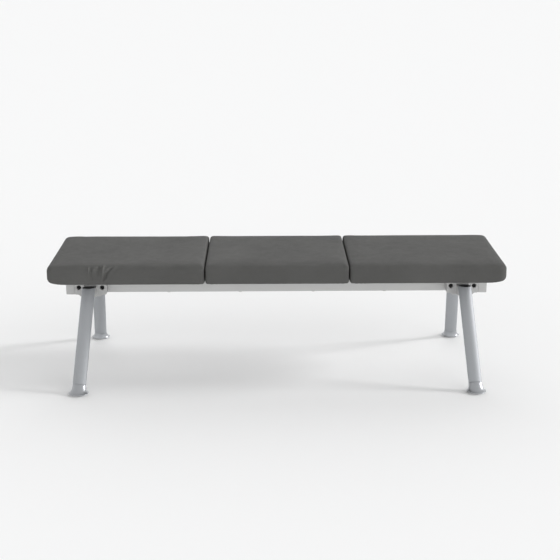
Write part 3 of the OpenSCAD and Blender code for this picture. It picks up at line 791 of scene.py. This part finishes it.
underLook = {
    "cell": 0.008,
    "sag": 0.0022,          # of the dust cloth between the rails
    "ripple": 0.0003,
    "staplePitch": 0.046,
    "stapleInset": 0.006,
    "stapleMargin": 0.015,  # from a corner to the first staple
    "skew": 0.12,           # how unevenly the staples sit, in radians and in metres
    "wander": 0.0006,
    "crown": 0.0105,
    "wire": 0.0005,
    # the wire from leg to leg: share of half the crown, and height
    "wirePath": ((-1, 0.0026), (-1, 0.0006), (-0.9, 0), (-0.4, -0.0001), (0.4, -0.0001), (0.9, 0),
                 (1, 0.0006), (1, 0.0026)),
}


def makeDustCover(name, look):
    low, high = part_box("dust_cover_" + name)
    rails = sorted(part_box("seat_rail_%d" % n) for n in range(1, 7))
    across = [(r[0][0], r[1][0]) for r in rails if r[0][0] > low[0] and r[1][0] < high[0]]
    stops = [low[0]] + [x for rail in across for x in rail] + [high[0]]
    runs = [evenSteps(a, b, look["cell"]) for a, b in zip(stops, stops[1:])]
    xs = np.unique(np.round(np.concatenate(runs), 6))
    ys = evenSteps(low[1], high[1], look["cell"])
    points = []
    for y in ys:
        for x in xs:
            drop = 0.0
            for a, b in zip(stops[::2], stops[1::2]):
                if a < x < b:
                    drop = math.sin((x - a) / (b - a) * math.pi) ** 2 * min(1, (b - a) / 0.2)
            edge = 1 - abs(2 * (y - low[1]) / (high[1] - low[1]) - 1) ** 4
            ripple = look["ripple"] * math.sin(x * 137) * math.sin(y * 149 + x * 31)
            points.append((x, y, low[2] + 0.0002 - drop * edge * (look["sag"] + ripple)))
    wide = len(xs)
    faces = [(j * wide + i, (j + 1) * wide + i, (j + 1) * wide + i + 1, j * wide + i + 1)
             for j in range(len(ys) - 1) for i in range(wide - 1)]
    cloth = addPiece("dustCloth_" + name, points, faces, "dust_cloth")
    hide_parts("dust_cover_" + name)


def sweep(path, radius, sides=8):
    points, faces = [], []
    path = [Vector(p) for p in path]
    for i, spot in enumerate(path):
        ahead = (path[min(i + 1, len(path) - 1)] - path[max(i - 1, 0)]).normalized()
        across = ahead.cross(Vector((0.31, 0.17, 0.93))).normalized()
        other = ahead.cross(across)
        for n in range(sides):
            turn = n / sides * 2 * math.pi
            points.append(spot + (across * math.cos(turn) + other * math.sin(turn)) * radius)
    for i in range(len(path) - 1):
        for n in range(sides):
            m = (n + 1) % sides
            faces.append((i * sides + n, i * sides + m, (i + 1) * sides + m, (i + 1) * sides + n))
    faces.append(tuple(range(sides)))
    faces.append(tuple(reversed(range((len(path) - 1) * sides, len(path) * sides))))
    return points, faces


def joinParts(parts):
    points, faces = [], []
    for partPoints, partFaces in parts:
        start = len(points)
        points += [tuple(p) for p in partPoints]
        faces += [tuple(start + i for i in face) for face in partFaces]
    return points, faces


def makeStaples(name, look):
    low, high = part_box("dust_cover_" + name)
    inset, half = look["stapleInset"], look["crown"] / 2
    spots = []
    for axis in (0, 1):
        for edge, inward in ((low[1 - axis], 1), (high[1 - axis], -1)):
            run = high[axis] - low[axis] - 2 * look["stapleMargin"]
            count = round(run / look["staplePitch"])
            for n in range(count + 1):
                middle = low[axis] + look["stapleMargin"] + run * n / count
                skew = look["skew"] * math.sin(n * 2.7 + axis * 1.3 + inward)
                line = edge + inward * (inset + look["wander"] * math.sin(n * 1.9))
                spots.append((middle, line, skew, axis))
    parts = []
    z = low[2] - look["wire"] * 0.6
    for middle, line, skew, axis in spots:
        path = []
        for u, dz in look["wirePath"]:
            along, aside = u * half * math.cos(skew), u * half * math.sin(skew)
            x, y = (middle + along, line + aside) if axis == 0 else (line + aside, middle + along)
            path.append((x, y, z + dz))
        parts.append(sweep(path, look["wire"]))
    addPiece("staples_" + name, *joinParts(parts), "zinc_steel")


for name in ends:
    makeDustCover(name, underLook)
    makeStaples(name, underLook)
print("underside ready")


castingLook = {
    "voxel": 0.0011,
    "smoothing": 4,
}


def softenCasting(nodeName, look):
    shape = nodes[nodeName].data.copy()
    piece = bpy.data.objects.new("soft_" + nodeName, shape)
    scene.collection.objects.link(piece)
    shape.materials.clear()
    shape.materials.append(materials["cast_silver"])
    remesh = piece.modifiers.new("skin", "REMESH")
    remesh.mode = "VOXEL"
    remesh.voxel_size = look["voxel"]
    remesh.use_smooth_shade = True
    soften = piece.modifiers.new("soften", "SMOOTH")
    soften.iterations = look["smoothing"]
    applyModifiers(piece)
    piece.data.shade_smooth()
    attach(piece, "frame")
    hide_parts(nodeName)


for corner in corners:
    softenCasting("bracket_" + corner, castingLook)
for side in ("left", "right"):
    softenCasting("end_cap_" + side, castingLook)
print("castings ready")

legLook = {
    "width": 0.049,
    "depth": 0.030,
    "wall": 0.00265,
    "footBack": 0.004,      # the leg's axis meets the floor this far outside the leveller
}
footLook = {
    "points": 72,
    "base": (0.0720, 0.0630),       # width and depth across the rim
    "seam": (0.0492, 0.0276),       # the same where the leg starts
    "underside": 0.0050,
    "rimRadius": 0.0016,
    "seamHeight": 0.0318,
    "lean": 0.0165,                 # how far the seam stands back from the base
    "pinch": (3.2, 0.7),            # hollowness of the flare, across and front to back
    "levelShare": 0.17,             # share of the flare that stays level before it takes the leg's tilt
    "rimSteps": 6,
    "flareSteps": 11,
    "lip": 0.0004,          # the foot's rounded edge at the seam
    "recess": 0.0135,       # radius of the hollow that the leveller sits in
    "recessTop": 0.0150,
    "studHole": 0.0068,
    "recessEdge": 0.0006,
    "recessMouth": 0.0008,
}


def ovalPoint(width, depth, turn):
    a, b = width / 2, depth / 2
    end = 0.6 * b
    wide = ((a - end) ** 2 + b * b - end * end) / (2 * (b - end))
    nx, ny = math.cos(turn), math.sin(turn)
    if abs(ny) * (a - end) > abs(nx) * (wide - b):
        return wide * nx, math.copysign(wide * abs(ny) - (wide - b), ny)
    return math.copysign(a - end, nx) + end * nx, end * ny


def ellipsePoint(width, depth, turn):
    a, b = width / 2, depth / 2
    nx, ny = math.cos(turn), math.sin(turn)
    size = math.hypot(a * nx, b * ny)
    return a * a * nx / size, b * b * ny / size


def legFrame(corner):
    padLow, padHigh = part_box("glide_pad_" + corner)
    plugLow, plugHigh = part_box("leg_plug_" + corner)
    mirror = (1 if padLow[0] > 0 else -1, 1 if padLow[1] < 0 else -1)
    footX, footY = (abs(padLow[k] + padHigh[k]) / 2 for k in (0, 1))
    topX, topY = (abs(plugLow[k] + plugHigh[k]) / 2 for k in (0, 1))
    foot = Vector((footX, -footY - legLook["footBack"], 0))
    top = Vector((topX, -topY, plugHigh[2]))
    along = (top - foot).normalized()
    across = Vector((along.z, 0, -along.x)).normalized()
    return mirror, foot, along, across, along.cross(across)


def mirrored(points, faces, mirror):
    points = [(p[0] * mirror[0], p[1] * mirror[1], p[2]) for p in points]
    if mirror[0] * mirror[1] < 0:
        faces = [tuple(reversed(face)) for face in faces]
    return points, faces


def footSections(look):     # height, width, depth, shift back and share of the leg's tilt
    (wide, deep), (seamWide, seamDeep), radius = look["base"], look["seam"], look["rimRadius"]
    middle = look["underside"] + radius
    for n in range(look["rimSteps"]):
        turn = math.radians(-80 + 140 * n / (look["rimSteps"] - 1))
        inset = 2 * radius * (1 - math.cos(turn))
        yield middle + radius * math.sin(turn), wide - inset, deep - inset, 0, 0
    start = middle + radius * math.sin(turn)
    for n in range(1, look["flareSteps"] + 1):
        t = (n / look["flareSteps"]) ** 1.6
        across = (1 - t) / (1 + look["pinch"][0] * t)
        back = (1 - t) * (1 - look["pinch"][1] * t * (1 - t))
        tilt = max(0, (t - look["levelShare"]) / (1 - look["levelShare"])) ** 1.5
        yield (start + (look["seamHeight"] - start) * t, seamWide + (wide - inset - seamWide) * across,
               seamDeep + (deep - inset - seamDeep) * back, look["lean"] * t ** 0.9, tilt)


def makeFoot(corner, look):
    mirror, foot, along = legFrame(corner)[:3]
    turns = [n / look["points"] * 2 * math.pi for n in range(look["points"])]
    top, hollow, underside = (look[k] for k in ("recessTop", "recess", "underside"))
    edge, mouth = look["recessEdge"], look["recessMouth"]
    rings = []
    for recessZ, radius in ((top, look["studHole"]), (top, hollow - edge), (top - edge, hollow),
                            (underside + mouth, hollow), (underside, hollow + mouth)):
        rings.append([(foot.x + radius * math.cos(t), foot.y + legLook["footBack"] + radius * math.sin(t),
                       recessZ) for t in turns])
    for height, width, depth, shift, tilt in footSections(look):
        centre = Vector((foot.x + along.x / along.z * height, foot.y + shift, height))
        ring = []
        for t in turns:
            oval, ellipse = ovalPoint(width, depth, t), ellipsePoint(width, depth, t)
            u, v = (o * tilt + e * (1 - tilt) for o, e in zip(oval, ellipse))
            ring.append((centre.x + u, centre.y + v, height - tilt * (along.x * u + along.y * v) / along.z))
        rings.append(ring)
    last = rings[-1]
    middle = Vector([sum(p[k] for p in last) / len(last) for k in range(3)])
    for share, rise in ((0.985, 0.0005), (0.955, look["lip"]), (0.80, look["lip"])):
        rings.append([middle + (Vector(p) - middle) * share + along * rise for p in last])
    points, faces = loft(rings, closeStart=False)
    piece = addPiece("castFoot_" + corner, *mirrored(points, faces, mirror), "foot_silver")
    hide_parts("foot_" + corner)


plugLook = {
    "points": 64,
    "depth": 0.009,
    "edge": 0.0009,
    "dish": 0.0007,
}


def makeLegPlug(corner, look):
    mirror, foot, along, across, back = legFrame(corner)
    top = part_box("leg_plug_" + corner)[1][2]
    width, depth = (legLook[k] - 2 * legLook["wall"] for k in ("width", "depth"))
    turns = [n / look["points"] * 2 * math.pi for n in range(look["points"])]
    edge = look["edge"]
    steps = [(look["depth"], 0.0012), (look["depth"] - 0.001, 0.0004), (look["depth"] * 0.5, 0), (edge, 0),
             (edge * 0.4, edge * 0.2), (edge * 0.08, edge * 0.6), (0, edge * 1.1), (0, edge * 2.2),
             (look["dish"] * 0.5, edge * 2.9), (look["dish"], edge * 3.8), (look["dish"], edge * 6.5)]
    rings = []
    for below, inset in steps:
        ring = []
        for t in turns:
            u, v = ovalPoint(width - 2 * inset, depth - 2 * inset, t)
            spot = foot + across * u + back * v
            ring.append(spot + along * ((top - below - spot.z) / along.z))
        rings.append(ring)
    points, faces = loft(rings)
    piece = addPiece("legCap_" + corner, *mirrored(points, faces, mirror), "black_plastic")
    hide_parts("leg_plug_" + corner)


for corner in corners:
    makeFoot(corner, footLook)
    makeLegPlug(corner, plugLook)
print("feet and plugs ready")
